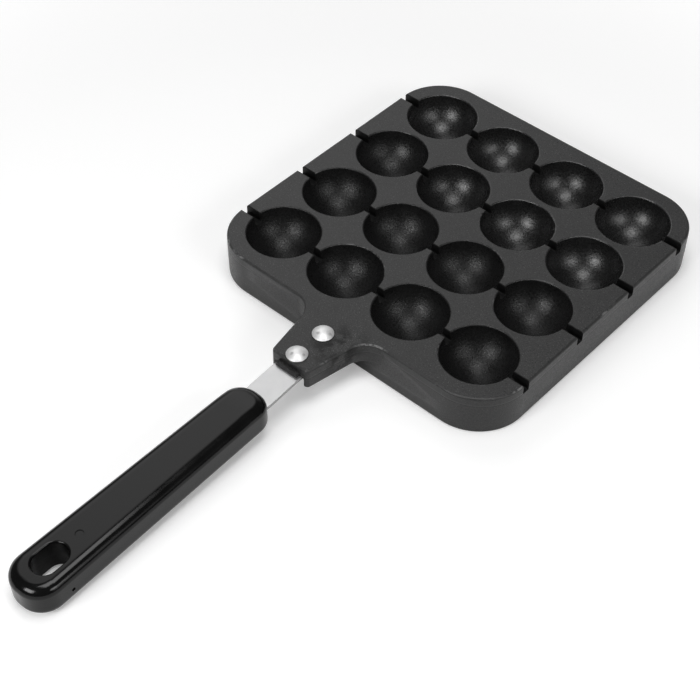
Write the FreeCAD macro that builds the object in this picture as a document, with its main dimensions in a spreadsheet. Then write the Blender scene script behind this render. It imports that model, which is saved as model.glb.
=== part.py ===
import FreeCAD, Part
import math
import os

import Sketcher
from FreeCAD import Placement, Rotation, Vector

# Takoyaki pan for the hob: a cast aluminium pan with hemispherical wells, a steel tang riveted
# under its lug, and a phenolic handle moulded round the tang. Millimetres, +Z up.
# The handle points to -Y and the pick grooves run along X. The pan stands on its rim at Z = 0,
# and the origin is under the middle of the whole length.

doc = FreeCAD.newDocument("takoyaki_pan")
sheet = doc.addObject("Spreadsheet::Sheet", "Sizes")

SIZES = [
    # pan casting
    ("pan_side", 184.6),
    ("pan_height", 23.6),
    ("corner_radius", 27.2),
    ("draft_angle", 1.2),
    ("plate_thickness", 3.6),
    ("skirt_thickness", 3.2),
    ("top_edge_round", 1.2),
    ("rim_edge_round", 1.2),
    # wells and the grooves that a pick is drawn along
    ("well_pitch", 42.5),
    ("well_count", 4),
    ("well_radius", 19.3),
    ("well_depth", 18.0),
    ("well_wall", 2.6),
    ("groove_width", 4.4),
    ("groove_depth", 5.4),
    ("groove_wall", 2.2),
    # lug that carries the tang
    ("lug_length", 35.2),
    ("lug_end_width", 23.1),
    ("lug_taper", 10.5),
    ("lug_depth", 11.5),
    ("lug_root_radius", 12.0),
    ("lug_corner_radius", 1.2),
    ("roof_thickness", 5.75),
    ("channel_clearance", 1.4),
    ("channel_end_wall", 3.2),
    ("lip_width", 12.8),
    ("lip_length", 2.3),
    ("lip_thickness", 2.3),
    # rivets
    ("rivet_inset", 11.4),
    ("rivet_spacing", 18.3),
    ("rivet_radius", 2.5),
    ("rivet_clearance", 0.1),
    ("head_radius", 5.4),
    ("head_height", 2.3),
    ("head_edge", 0.5),
    ("tail_radius", 4.0),
    ("tail_height", 1.5),
    # steel tang
    ("tang_width", 16.0),
    ("tang_thickness", 1.8),
    ("tang_end_gap", 0.8),
    ("tang_slope", 6.0),
    ("tang_embedded", 62.0),
    ("tang_lift", 0.7),
    ("lock_hole_radius", 3.0),
    ("lock_hole_inset", 14.0),
    ("lock_hole_spacing", 30.0),
    # phenolic handle
    ("handle_gap", 20.9),
    ("handle_length", 146.8),
    ("handle_droop", 2.1),
    ("handle_front_width", 22.6),
    ("handle_rear_width", 27.2),
    ("handle_thickness", 17.4),
    ("handle_front_radius", 10.5),
    ("handle_rear_radius", 12.3),
    ("handle_edge_round", 4.4),
    ("nose_length", 18.0),
    ("nose_drop", 2.0),
    ("eye_length", 18.0),
    ("eye_width", 12.4),
    ("eye_inset", 19.2),
    ("eye_edge_round", 1.0),
    ("side_hole_radius", 0.9),
    ("side_hole_depth", 4.0),
    ("side_hole_drop", 1.9),
    ("mouth_clearance", 0.5),
    ("mouth_depth", 5.0),
    ("mould_mark_radius", 2.0),
    ("mould_mark_depth", 0.3),
    ("mould_mark_inset", 36.2),
]
for row, (alias, number) in enumerate(SIZES, start=1):
    sheet.set(f"A{row}", alias.replace("_", " "))
    sheet.set(f"B{row}", str(number))
    sheet.setAlias(f"B{row}", alias)
doc.recompute()

# How close two lengths are when an edge is picked by its place.
NEAR = 0.01

# A corner's radius stays under this share of its side, so that a flat is left between two.
MOST_OF_HALF = 0.47


def number(expression):
    """The present value of an expression of the sheet's sizes."""
    return float(sheet.evalExpression(expression))


def origin_plane(body, role):
    """One of the body's own origin planes or axes, such as XY_Plane."""
    return next(item for item in body.Origin.OriginFeatures if item.Role == role)


def new_body(label, y="0", z="0"):
    """A body that is placed from the middle of the whole length and the rim's plane."""
    body = doc.addObject("PartDesign::Body", label)
    body.Label = label
    body.setExpression("Placement.Base.y", y)
    body.setExpression("Placement.Base.z", z)
    return body


def new_sketch(body, name, role="XY_Plane", offset="0"):
    """A sketch on one of the body's planes, lifted along the plane's normal."""
    sketch = body.newObject("Sketcher::SketchObject", name)
    sketch.AttachmentSupport = [(origin_plane(body, role), "")]
    sketch.MapMode = "FlatFace"
    sketch.setExpression("AttachmentOffset.Base.z", offset)
    return sketch


def bind(sketch, kind, references, expression):
    """A dimension of the sketch that follows an expression."""
    index = sketch.addConstraint(Sketcher.Constraint(kind, *references, number(expression)))
    name = f"size{index}"
    sketch.renameConstraint(index, name)
    sketch.setExpression(f"Constraints.{name}", expression)


def place_point(sketch, element, end, x, y):
    """Holds one end of an element at X and Y, or on an axis where the expression is 0."""
    for kind, axis, expression in (("DistanceX", -2, x), ("DistanceY", -1, y)):
        if expression == "0":
            sketch.addConstraint(Sketcher.Constraint("PointOnObject", element, end, axis))
        else:
            bind(sketch, kind, (-1, 1, element, end), expression)


def outline(sketch, corners, domed=()):
    """A closed outline through the corners. The domed sides are arcs centred on the sketch's
    vertical axis, and the others are straight."""
    points = [Vector(number(x), number(y), 0) for x, y in corners]
    elements = []
    ends = []
    for side, start in enumerate(points):
        finish = points[(side + 1) % len(points)]
        if side not in domed:
            elements.append(sketch.addGeometry(Part.LineSegment(start, finish), False))
            ends.append((1, 2))
            continue
        lift = start.dot(start) - finish.dot(finish)
        centre = Vector(0, lift / (2 * (start.y - finish.y)), 0)
        from_angle = math.atan2(start.y - centre.y, start.x)
        to_angle = math.atan2(finish.y - centre.y, finish.x)
        forward = (to_angle - from_angle) % (2 * math.pi) < math.pi
        low, high = (from_angle, to_angle) if forward else (to_angle, from_angle)
        circle = Part.Circle(centre, Vector(0, 0, 1), start.distanceToPoint(centre))
        element = sketch.addGeometry(Part.ArcOfCircle(circle, low, high), False)
        sketch.addConstraint(Sketcher.Constraint("PointOnObject", element, 3, -2))
        elements.append(element)
        ends.append((1, 2) if forward else (2, 1))
    for side, element in enumerate(elements):
        after = (side + 1) % len(elements)
        joint = (element, ends[side][1], elements[after], ends[after][0])
        sketch.addConstraint(Sketcher.Constraint("Coincident", *joint))
        place_point(sketch, element, ends[side][0], *corners[side])


def rounded_square(sketch, half_side, radius):
    """A square about the sketch's origin with a round at each corner."""
    half = number(half_side)
    bend = number(radius)
    reach = half - bend
    arcs = []
    lines = []
    for quarter in range(4):
        turn = Rotation(Vector(0, 0, 1), 90 * quarter)
        circle = Part.Circle(turn.multVec(Vector(reach, reach, 0)), Vector(0, 0, 1), bend)
        start = math.radians(90 * quarter)
        arcs.append(sketch.addGeometry(Part.ArcOfCircle(circle, start, start + math.pi / 2), False))
    for quarter in range(4):
        turn = Rotation(Vector(0, 0, 1), 90 * quarter)
        side = (turn.multVec(Vector(reach, half, 0)), turn.multVec(Vector(-reach, half, 0)))
        lines.append(sketch.addGeometry(Part.LineSegment(*side), False))
    for quarter, arc in enumerate(arcs):
        next_arc = arcs[(quarter + 1) % 4]
        sketch.addConstraint(Sketcher.Constraint("Tangent", arc, 2, lines[quarter], 1))
        sketch.addConstraint(Sketcher.Constraint("Tangent", lines[quarter], 2, next_arc, 1))
        x_sign = "" if quarter in (0, 3) else "-"
        y_sign = "" if quarter in (0, 1) else "-"
        span = f"({half_side} - {radius})"
        place_point(sketch, arc, 3, x_sign + span, y_sign + span)
        bind(sketch, "Radius", (arc,), radius)


def circles(sketch, centres, radius):
    """Circles of one radius."""
    for x, y in centres:
        centre = Vector(number(x), number(y), 0)
        circle = sketch.addGeometry(Part.Circle(centre, Vector(0, 0, 1), number(radius)), False)
        place_point(sketch, circle, 3, x, y)
        bind(sketch, "Radius", (circle,), radius)


def volume_of(body):
    doc.recompute()
    return body.Shape.Volume


def shaped(body, kind, sketch, settings, expressions):
    """A feature made from a sketch, checked to have added or removed something."""
    before = volume_of(body) if body.Tip else 0.0
    feature = body.newObject(f"PartDesign::{kind}", f"{kind.lower()}_{sketch.Name}")
    feature.Profile = sketch
    for name, value in settings.items():
        setattr(feature, name, value)
    for name, expression in expressions.items():
        feature.setExpression(name, expression)
    change = volume_of(body) - before
    adds = kind in ("Pad", "Revolution")
    if change * (1 if adds else -1) <= 0:
        raise RuntimeError(f"{feature.Name} did nothing")
    return feature


def prism(body, kind, sketch, length, reverse=False, taper="0"):
    """A Pad or a Pocket of a sketch."""
    return shaped(body, kind, sketch, {"Reversed": reverse}, {"Length": length, "TaperAngle": taper})


def prism_both_ways(body, kind, sketch, length):
    """A Pad or a Pocket that reaches equally far on both sides of its sketch."""
    return shaped(body, kind, sketch, {"SideType": "Symmetric"}, {"Length": length})


def turned(body, kind, sketch):
    """A Revolution or a Groove of a sketch about the sketch's vertical axis."""
    return shaped(body, kind, sketch, {"ReferenceAxis": (sketch, ["V_Axis"]), "Angle": 360}, {})


def grid(body, name, feature, count, pitch, both_ways=True):
    """Copies of a feature at one pitch, along Y or along X and Y."""
    pattern = body.newObject("PartDesign::LinearPattern", name)
    pattern.Originals = [feature]
    pattern.Direction = (origin_plane(body, "Y_Axis"), [""])
    pattern.setExpression("Length", f"({count} - 1) * {pitch}")
    pattern.setExpression("Occurrences", count)
    if both_ways:
        pattern.Direction2 = (origin_plane(body, "X_Axis"), [""])
        pattern.setExpression("Length2", f"({count} - 1) * {pitch}")
        pattern.setExpression("Occurrences2", count)
    body.Tip = pattern
    doc.recompute()
    return pattern


def rounded(body, name, radius, wanted):
    """A fillet on the edges of the body's present shape that the test picks."""
    doc.recompute()
    base = body.Tip
    names = [f"Edge{index}" for index, edge in enumerate(base.Shape.Edges, start=1) if wanted(edge)]
    fillet = body.newObject("PartDesign::Fillet", name)
    fillet.Base = (base, names)
    fillet.setExpression("Radius", radius)
    doc.recompute()
    return fillet


HALF_SIDE = "Sizes.pan_side / 2"
TOP = "Sizes.pan_height"
LUG_FLOOR = "(Sizes.pan_height - Sizes.lug_depth)"
LUG_END = "(Sizes.pan_side / 2 + Sizes.lug_length)"
FIRST_WELL = "((Sizes.well_count - 1) * Sizes.well_pitch / 2)"
GRIP = "(Sizes.roof_thickness + Sizes.tang_thickness)"

# The tang leaves the lug level, slopes down and enters the handle at its own angle.
ENTRY_OUT = "(Sizes.lug_length + Sizes.handle_gap)"
ENTRY_DROP = "((Sizes.handle_gap - Sizes.lip_length) * tan(Sizes.tang_slope))"
TANG_OVER_AXIS = "(Sizes.tang_lift + Sizes.tang_thickness / 2)"
HANDLE_OUT = f"({ENTRY_OUT} - {TANG_OVER_AXIS} * sin(Sizes.handle_droop))"
HANDLE_DROP = f"({ENTRY_DROP} + {TANG_OVER_AXIS} * cos(Sizes.handle_droop))"

# From the pan's front wall to the handle's far end, and so to the middle of the whole length.
HANDLE_REACH = (
    f"({HANDLE_OUT} + Sizes.handle_length * cos(Sizes.handle_droop)"
    " + (Sizes.handle_thickness / 2 - Sizes.handle_edge_round) * sin(Sizes.handle_droop))"
)
PAN_CENTRE_Y = f"({HANDLE_REACH} / 2)"
WALL_Y = f"({PAN_CENTRE_Y} - Sizes.pan_side / 2)"
ROOF_Z = "(Sizes.pan_height - Sizes.roof_thickness)"

# Holes of the tang that the handle's resin fills, measured from the handle's front end.
LOCK_CENTRES = [
    ("0", "-Sizes.lock_hole_inset"),
    ("0", "-(Sizes.lock_hole_inset + Sizes.lock_hole_spacing)"),
]


def pan_casting():
    """The casting: skirted plate, wells, pick grooves and the channelled lug."""
    body = new_body("pan_casting", y=PAN_CENTRE_Y)
    half = number(HALF_SIDE)
    top = number(TOP)
    lug_floor = number(LUG_FLOOR)

    # outer form: an upright band as deep as the lug, and a drafted wall under it
    band = new_sketch(body, "band", offset=TOP)
    rounded_square(band, HALF_SIDE, "Sizes.corner_radius")
    prism(body, "Pad", band, "Sizes.lug_depth", reverse=True)

    lug_half_end = "Sizes.lug_end_width / 2"
    lug_half_root = f"({lug_half_end} + Sizes.lug_length * tan(Sizes.lug_taper))"
    root_in_wall = f"({lug_half_root} + Sizes.skirt_thickness * tan(Sizes.lug_taper))"
    wall_inside = f"-({HALF_SIDE} - Sizes.skirt_thickness)"
    lug = new_sketch(body, "lug", offset=TOP)
    outline(lug, [
        (root_in_wall, wall_inside),
        (f"-{root_in_wall}", wall_inside),
        (f"-{lug_half_end}", f"-{LUG_END}"),
        (lug_half_end, f"-{LUG_END}"),
    ])
    prism(body, "Pad", lug, "Sizes.lug_depth", reverse=True)

    def upright_at(x, y):
        return lambda edge: (
            edge.BoundBox.ZLength > 1
            and abs(abs(edge.CenterOfMass.x) - x) < NEAR
            and abs(edge.CenterOfMass.y - y) < NEAR
        )

    rounded(body, "lug_roots", "Sizes.lug_root_radius", upright_at(number(lug_half_root), -half))
    lug_end_corner = upright_at(number(lug_half_end), -number(LUG_END))
    rounded(body, "lug_corners", "Sizes.lug_corner_radius", lug_end_corner)

    wall = new_sketch(body, "wall", offset=LUG_FLOOR)
    rounded_square(wall, HALF_SIDE, "Sizes.corner_radius")
    prism(body, "Pad", wall, LUG_FLOOR, reverse=True, taper="-Sizes.draft_angle")

    def level_with(height):
        return lambda edge: (
            abs(edge.BoundBox.ZMin - height) < NEAR and abs(edge.BoundBox.ZMax - height) < NEAR
        )

    rounded(body, "top_edge", "Sizes.top_edge_round", level_with(top))
    rounded(body, "rim_edge", "Sizes.rim_edge_round", level_with(0))

    # the hollow underside, with a rib behind each groove and a dome behind each well
    hollow = new_sketch(body, "hollow")
    inner_radius = "(Sizes.corner_radius - Sizes.skirt_thickness)"
    rounded_square(hollow, f"({HALF_SIDE} - Sizes.skirt_thickness)", inner_radius)
    depth = "Sizes.pan_height - Sizes.plate_thickness"
    prism(body, "Pocket", hollow, depth, reverse=True, taper="-Sizes.draft_angle")

    rib_depth = "(Sizes.groove_depth + Sizes.groove_wall)"
    rib_half = "(Sizes.groove_width / 2 + Sizes.groove_wall)"
    rib_reach = f"({HALF_SIDE} - Sizes.skirt_thickness / 2)"
    rib = new_sketch(body, "rib", offset=f"{TOP} - {rib_depth}")
    outline(rib, [
        (f"-{rib_reach}", f"-{FIRST_WELL} - {rib_half}"),
        (rib_reach, f"-{FIRST_WELL} - {rib_half}"),
        (rib_reach, f"-{FIRST_WELL} + {rib_half}"),
        (f"-{rib_reach}", f"-{FIRST_WELL} + {rib_half}"),
    ])
    rib_pad = prism(body, "Pad", rib, f"{rib_depth} - Sizes.plate_thickness / 2")
    grid(body, "ribs", rib_pad, "Sizes.well_count", "Sizes.well_pitch", both_ways=False)

    ball = "((Sizes.well_radius ^ 2 + Sizes.well_depth ^ 2) / (2 * Sizes.well_depth))"
    ball_z = f"({TOP} - Sizes.well_depth + {ball})"
    in_plate = f"({TOP} - Sizes.plate_thickness / 2)"
    dome_edge = f"sqrt(({ball} + Sizes.well_wall) ^ 2 - ({ball_z} - {in_plate}) ^ 2)"
    dome = well_sketch(body, "dome")
    outline(dome, [
        ("0", f"{TOP} - Sizes.well_depth - Sizes.well_wall"),
        (dome_edge, in_plate),
        ("0", in_plate),
    ], domed=(0,))
    grid(body, "domes", turned(body, "Revolution", dome), "Sizes.well_count", "Sizes.well_pitch")

    # grooves from side to side, then the wells
    past_wall = f"({HALF_SIDE} + Sizes.skirt_thickness)"
    groove = new_sketch(body, "groove", offset=TOP)
    outline(groove, [
        (f"-{past_wall}", f"-{FIRST_WELL} - Sizes.groove_width / 2"),
        (past_wall, f"-{FIRST_WELL} - Sizes.groove_width / 2"),
        (past_wall, f"-{FIRST_WELL} + Sizes.groove_width / 2"),
        (f"-{past_wall}", f"-{FIRST_WELL} + Sizes.groove_width / 2"),
    ])
    groove_cut = prism(body, "Pocket", groove, "Sizes.groove_depth")
    grid(body, "grooves", groove_cut, "Sizes.well_count", "Sizes.well_pitch", both_ways=False)

    well = well_sketch(body, "well")
    outline(well, [
        ("0", f"{TOP} - Sizes.well_depth"),
        ("Sizes.well_radius", TOP),
        ("0", TOP),
    ], domed=(0,))
    grid(body, "wells", turned(body, "Groove", well), "Sizes.well_count", "Sizes.well_pitch")

    # channel for the tang under the lug's roof, and the lip at the roof's end
    channel_half = "(Sizes.tang_width / 2 + Sizes.channel_clearance)"
    channel_start = f"-({HALF_SIDE} + Sizes.channel_end_wall)"
    channel_end = f"-({LUG_END} + Sizes.lip_length)"
    channel = new_sketch(body, "channel", offset=LUG_FLOOR)
    outline(channel, [
        (f"-{channel_half}", channel_start),
        (f"-{channel_half}", channel_end),
        (channel_half, channel_end),
        (channel_half, channel_start),
    ])
    prism(body, "Pocket", channel, "Sizes.lug_depth - Sizes.roof_thickness", reverse=True)

    lip = new_sketch(body, "lip", offset=ROOF_Z)
    lip_root = f"-({LUG_END} - Sizes.lip_length)"
    outline(lip, [
        ("-Sizes.lip_width / 2", lip_root),
        ("-Sizes.lip_width / 2", channel_end),
        ("Sizes.lip_width / 2", channel_end),
        ("Sizes.lip_width / 2", lip_root),
    ])
    prism(body, "Pad", lip, "Sizes.lip_thickness")

    rivet_holes = new_sketch(body, "rivet_holes", offset=TOP)
    first = f"({HALF_SIDE} + Sizes.rivet_inset)"
    hole_centres = [("0", f"-{first}"), ("0", f"-({first} + Sizes.rivet_spacing)")]
    circles(rivet_holes, hole_centres, "(Sizes.rivet_radius + Sizes.rivet_clearance)")
    prism(body, "Pocket", rivet_holes, "Sizes.roof_thickness")
    return body


def well_sketch(body, name):
    """A sketch on the upright plane through the first well's centre."""
    sketch = new_sketch(body, name, "XZ_Plane", offset=FIRST_WELL)
    sketch.setExpression("AttachmentOffset.Base.x", f"-{FIRST_WELL}")
    return sketch


def tang():
    """The steel strip: level under the lug's roof, sloping to the handle, straight inside it."""
    body = new_body("tang", y=WALL_Y, z=ROOF_Z)
    slope = "Sizes.tang_slope"
    droop = "Sizes.handle_droop"
    thick = "Sizes.tang_thickness"
    start = "-(Sizes.channel_end_wall + Sizes.tang_end_gap)"
    bend = "-(Sizes.lug_length + Sizes.lip_length)"
    mean = f"(({slope} + {droop}) / 2)"
    skew = f"({thick} / cos(({slope} - {droop}) / 2))"
    end_y = f"(-{ENTRY_OUT} - Sizes.tang_embedded * cos({droop}))"
    end_z = f"(-{ENTRY_DROP} - Sizes.tang_embedded * sin({droop}))"
    side = new_sketch(body, "side", "YZ_Plane")
    outline(side, [
        (start, "0"),
        (bend, "0"),
        (f"-{ENTRY_OUT}", f"-{ENTRY_DROP}"),
        (end_y, end_z),
        (f"{end_y} + {thick} * sin({droop})", f"{end_z} - {thick} * cos({droop})"),
        (f"-{ENTRY_OUT} + {skew} * sin({mean})", f"-{ENTRY_DROP} - {skew} * cos({mean})"),
        (f"{bend} + {thick} * tan({slope} / 2)", f"-{thick}"),
        (start, f"-{thick}"),
    ])
    prism_both_ways(body, "Pad", side, "Sizes.tang_width")

    holes = new_sketch(body, "rivet_holes")
    hole_centres = [("0", "-Sizes.rivet_inset"), ("0", "-(Sizes.rivet_inset + Sizes.rivet_spacing)")]
    circles(holes, hole_centres, "(Sizes.rivet_radius + Sizes.rivet_clearance)")
    prism(body, "Pocket", holes, "Sizes.tang_thickness")

    locks = new_sketch(body, "lock_holes", offset=f"-{ENTRY_DROP}")
    locks.AttachmentOffset = Placement(Vector(0, 0, 0), Rotation(Vector(1, 0, 0), 1))
    locks.setExpression("AttachmentOffset.Base.y", f"-{ENTRY_OUT}")
    locks.setExpression("AttachmentOffset.Rotation.Angle", droop)
    circles(locks, LOCK_CENTRES, "Sizes.lock_hole_radius")
    prism(body, "Pocket", locks, "Sizes.tang_thickness")
    return body


def rivet(label, out):
    """A domed rivet through the lug's roof and the tang, with its upset tail under the tang."""
    body = new_body(label, y=f"({WALL_Y} - {out})", z=TOP)
    section = new_sketch(body, "section", "XZ_Plane")
    outline(section, [
        ("0", "Sizes.head_height"),
        ("Sizes.head_radius", "Sizes.head_edge"),
        ("Sizes.head_radius", "0"),
        ("Sizes.rivet_radius", "0"),
        ("Sizes.rivet_radius", f"-{GRIP}"),
        ("Sizes.tail_radius", f"-{GRIP}"),
        ("Sizes.tail_radius", f"-({GRIP} + Sizes.head_edge)"),
        ("0", f"-({GRIP} + Sizes.tail_height)"),
    ], domed=(0, 6))
    turned(body, "Revolution", section)
    return body


def handle():
    """The phenolic handle, moulded round the tang, with the hanging eye at its far end."""
    body = new_body("handle", y=f"({WALL_Y} - {HANDLE_OUT})", z=f"({ROOF_Z} - {HANDLE_DROP})")
    body.Placement = Placement(Vector(0, 0, 0), Rotation(Vector(1, 0, 0), 1))
    body.setExpression("Placement.Rotation.Angle", "Sizes.handle_droop")
    half_thick = "Sizes.handle_thickness / 2"

    plan = new_sketch(body, "plan", offset=f"-{half_thick}")
    outline(plan, [
        ("Sizes.handle_front_width / 2", "0"),
        ("-Sizes.handle_front_width / 2", "0"),
        ("-Sizes.handle_rear_width / 2", "-Sizes.handle_length"),
        ("Sizes.handle_rear_width / 2", "-Sizes.handle_length"),
    ])
    prism(body, "Pad", plan, "Sizes.handle_thickness")

    def upright_near(y):
        return lambda edge: edge.BoundBox.ZLength > 1 and abs(edge.CenterOfMass.y - y) < NEAR

    front_corner = f"min(Sizes.handle_front_radius; Sizes.handle_front_width * {MOST_OF_HALF})"
    rounded(body, "front_corners", front_corner, upright_near(0))
    rear_corner = f"min(Sizes.handle_rear_radius; Sizes.handle_rear_width * {MOST_OF_HALF})"
    rounded(body, "rear_corners", rear_corner, upright_near(-number("Sizes.handle_length")))

    # the top bends down to the tang over the length of the nose
    nose = new_sketch(body, "nose", "YZ_Plane")
    nose.setExpression("AttachmentOffset.Base.x", "-Sizes.nose_length")
    outline(nose, [
        ("0", half_thick),
        ("Sizes.nose_length", f"{half_thick} - Sizes.nose_drop"),
        ("Sizes.nose_length", half_thick),
    ], domed=(0,))
    past_sides = "(Sizes.handle_front_width + Sizes.handle_rear_width)"
    prism_both_ways(body, "Pocket", nose, past_sides)
    nose_start = -number("Sizes.nose_length")
    drop = number("Sizes.nose_drop")
    rounded(body, "edges", "Sizes.handle_edge_round", lambda edge: (
        edge.BoundBox.ZLength < drop + NEAR
        and not (edge.BoundBox.YLength < NEAR and abs(edge.CenterOfMass.y - nose_start) < NEAR)
    ))

    eye_y = "-(Sizes.handle_length - Sizes.eye_inset)"
    eye = new_sketch(body, "eye", offset=half_thick)
    stadium(eye, eye_y, "Sizes.eye_length", "Sizes.eye_width")
    prism(body, "Pocket", eye, "Sizes.handle_thickness")
    eye_reach = number("Sizes.eye_length") / 2 + NEAR
    eye_middle = number(eye_y)
    rounded(body, "eye_edges", "Sizes.eye_edge_round", lambda edge: (
        edge.BoundBox.ZLength < NEAR
        and edge.BoundBox.YMin > eye_middle - eye_reach
        and edge.BoundBox.YMax < eye_middle + eye_reach
        and abs(edge.CenterOfMass.x) < number("Sizes.eye_width") / 2 + NEAR
    ))

    # the tang's slot, its wider mouth, and the resin that filled the tang's lock holes
    low = "(Sizes.tang_lift - Sizes.tang_thickness / 2)"
    high = "(Sizes.tang_lift + Sizes.tang_thickness / 2)"
    slot = new_sketch(body, "slot", "XZ_Plane")
    half_wide = "Sizes.tang_width / 2"
    outline(slot, [(f"-{half_wide}", low), (half_wide, low), (half_wide, high), (f"-{half_wide}", high)])
    prism(body, "Pocket", slot, "Sizes.tang_embedded", reverse=True)

    gap = "Sizes.mouth_clearance"
    mouth = new_sketch(body, "mouth", "XZ_Plane")
    outline(mouth, [
        (f"-({half_wide} + {gap})", f"({low} - {gap})"),
        (f"({half_wide} + {gap})", f"({low} - {gap})"),
        (f"({half_wide} + {gap})", f"({high} + {gap})"),
        (f"-({half_wide} + {gap})", f"({high} + {gap})"),
    ])
    prism(body, "Pocket", mouth, "Sizes.mouth_depth", reverse=True)

    locks = new_sketch(body, "resin_locks", offset=low)
    circles(locks, LOCK_CENTRES, "Sizes.lock_hole_radius")
    prism(body, "Pad", locks, "Sizes.tang_thickness")

    side_hole = new_sketch(body, "side_hole", "YZ_Plane", offset="Sizes.handle_rear_width / 2")
    circles(side_hole, [(eye_y, "-Sizes.side_hole_drop")], "Sizes.side_hole_radius")
    prism(body, "Pocket", side_hole, "Sizes.side_hole_depth")

    mould_mark = new_sketch(body, "mould_mark", offset=half_thick)
    mark_y = "-(Sizes.handle_length - Sizes.mould_mark_inset)"
    circles(mould_mark, [("0", mark_y)], "Sizes.mould_mark_radius")
    prism(body, "Pocket", mould_mark, "Sizes.mould_mark_depth")
    return body


def stadium(sketch, centre_y, length, width):
    """A slot outline along the sketch's vertical, with two half-round ends."""
    bend = number(width) / 2
    reach = number(length) / 2 - bend
    middle = number(centre_y)
    axis = Vector(0, 0, 1)
    high = Part.Circle(Vector(0, middle + reach, 0), axis, bend)
    low = Part.Circle(Vector(0, middle - reach, 0), axis, bend)
    top_arc = sketch.addGeometry(Part.ArcOfCircle(high, 0, math.pi), False)
    low_arc = sketch.addGeometry(Part.ArcOfCircle(low, math.pi, 2 * math.pi), False)
    sides = []
    for x in (-bend, bend):
        foot = Vector(x, middle - reach * math.copysign(1, -x), 0)
        head = Vector(x, middle + reach * math.copysign(1, -x), 0)
        sides.append(sketch.addGeometry(Part.LineSegment(head, foot), False))
    loop = [top_arc, sides[0], low_arc, sides[1]]
    for turn, element in enumerate(loop):
        after = loop[(turn + 1) % 4]
        sketch.addConstraint(Sketcher.Constraint("Tangent", element, 2, after, 1))
    place_point(sketch, top_arc, 3, "0", f"{centre_y} + ({length} - {width}) / 2")
    place_point(sketch, low_arc, 3, "0", f"{centre_y} - ({length} - {width}) / 2")
    bind(sketch, "Radius", (top_arc,), f"{width} / 2")


bodies = [
    pan_casting(),
    tang(),
    rivet("inner_rivet", "Sizes.rivet_inset"),
    rivet("outer_rivet", "(Sizes.rivet_inset + Sizes.rivet_spacing)"),
    handle(),
]
doc.recompute()

for item in doc.Objects:
    if "Invalid" in item.State or "Error" in item.State:
        raise RuntimeError(f"{item.Name} failed")
for body in bodies:
    if body.Shape.isNull() or not body.Shape.isValid():
        raise RuntimeError(f"{body.Label} has no valid shape")

os.makedirs("parts", exist_ok=True)
for body in bodies:
    body.Shape.exportStep(f"parts/{body.Label}.step")
    box = body.Shape.BoundBox
    print(f"{body.Label}: {body.Shape.Volume / 1000:.2f} cm3, {len(body.Shape.Solids)} solid,"
          f" Y {box.YMin:.2f} to {box.YMax:.2f}, Z {box.ZMin:.2f} to {box.ZMax:.2f}")
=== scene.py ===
import bpy
import bmesh
from math import asin, atan2, cos, degrees, pi, radians, sin, sqrt, tan
from mathutils import Matrix, Vector


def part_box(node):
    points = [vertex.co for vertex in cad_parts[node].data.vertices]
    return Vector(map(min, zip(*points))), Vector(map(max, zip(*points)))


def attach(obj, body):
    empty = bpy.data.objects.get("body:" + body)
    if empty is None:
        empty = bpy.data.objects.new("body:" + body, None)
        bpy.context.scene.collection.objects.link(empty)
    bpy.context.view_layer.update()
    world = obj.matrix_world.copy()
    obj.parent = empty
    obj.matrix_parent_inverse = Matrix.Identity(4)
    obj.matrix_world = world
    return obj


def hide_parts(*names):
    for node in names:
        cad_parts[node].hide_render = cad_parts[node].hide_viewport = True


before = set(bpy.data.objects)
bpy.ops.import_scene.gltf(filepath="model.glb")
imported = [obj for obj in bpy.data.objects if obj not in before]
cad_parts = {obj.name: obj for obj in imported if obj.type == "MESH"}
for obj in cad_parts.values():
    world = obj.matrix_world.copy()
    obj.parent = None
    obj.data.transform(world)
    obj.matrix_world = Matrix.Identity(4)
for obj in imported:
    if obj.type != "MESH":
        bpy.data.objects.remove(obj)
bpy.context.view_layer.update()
scene = bpy.context.scene
print("frame loaded:", ", ".join(sorted(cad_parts)))

mm = 0.001  # shapes are drawn in millimetres and brought to metres last


def arcPoints(centre, radius, start, end, steps, hollow=False):
    # points on an arc with the direction that faces out of the metal
    points = []
    for step in range(steps + 1):
        angle = radians(start + (end - start) * step / steps)
        away = Vector((cos(angle), sin(angle)))
        points.append((Vector(centre) + radius * away, -away if hollow else away))
    return points


def mirrored(half):
    # the left half of an outline whose right half is given, in the order that closes it
    return [(Vector((-p.x, p.y)), Vector((-n.x, n.y))) for p, n in reversed(half)]


def ringAt(bm, outline, offset, height):
    # one ring of vertices, moved in by offset; both may be numbers or functions of the index
    ring = []
    for index, (point, normal) in enumerate(outline):
        inward = offset(index) if callable(offset) else offset
        place = point - normal * inward
        level = height(index, place) if callable(height) else height
        ring.append(bm.verts.new((place.x, place.y, level)))
    return ring


def band(bm, first, second):
    # quads between two closed rings
    count = len(first)
    for index in range(count):
        after = (index + 1) % count
        bm.faces.new((first[index], first[after], second[after], second[index]))


def shell(bm, rings, capped=True):
    # skins the rings in turn and closes both ends
    for first, second in zip(rings, rings[1:]):
        band(bm, first, second)
    if capped:
        bm.faces.new(rings[0])
        bm.faces.new(rings[-1])


def quarter(steps, first=0):
    # two shares at each step of a quarter round: one grows to 1 while the other falls to 0
    for step in range(first, steps + 1):
        angle = radians(90 * step / steps)
        yield 1 - cos(angle), 1 - sin(angle)


def arcRadius(reach, rise):
    # of an arc that rises so much over its reach
    return (reach ** 2 + rise ** 2) / (2 * rise)


def meshObject(bm, name, weld=0.0005):
    # welds, turns every face outwards and keeps the shape as an object
    bmesh.ops.remove_doubles(bm, verts=bm.verts, dist=weld)
    bmesh.ops.recalc_face_normals(bm, faces=bm.faces)
    for face in bm.faces:
        face.smooth = True
    mesh = bpy.data.meshes.new(name)
    bm.to_mesh(mesh)
    bm.free()
    thing = bpy.data.objects.new(name, mesh)
    scene.collection.objects.link(thing)
    return thing


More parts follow.
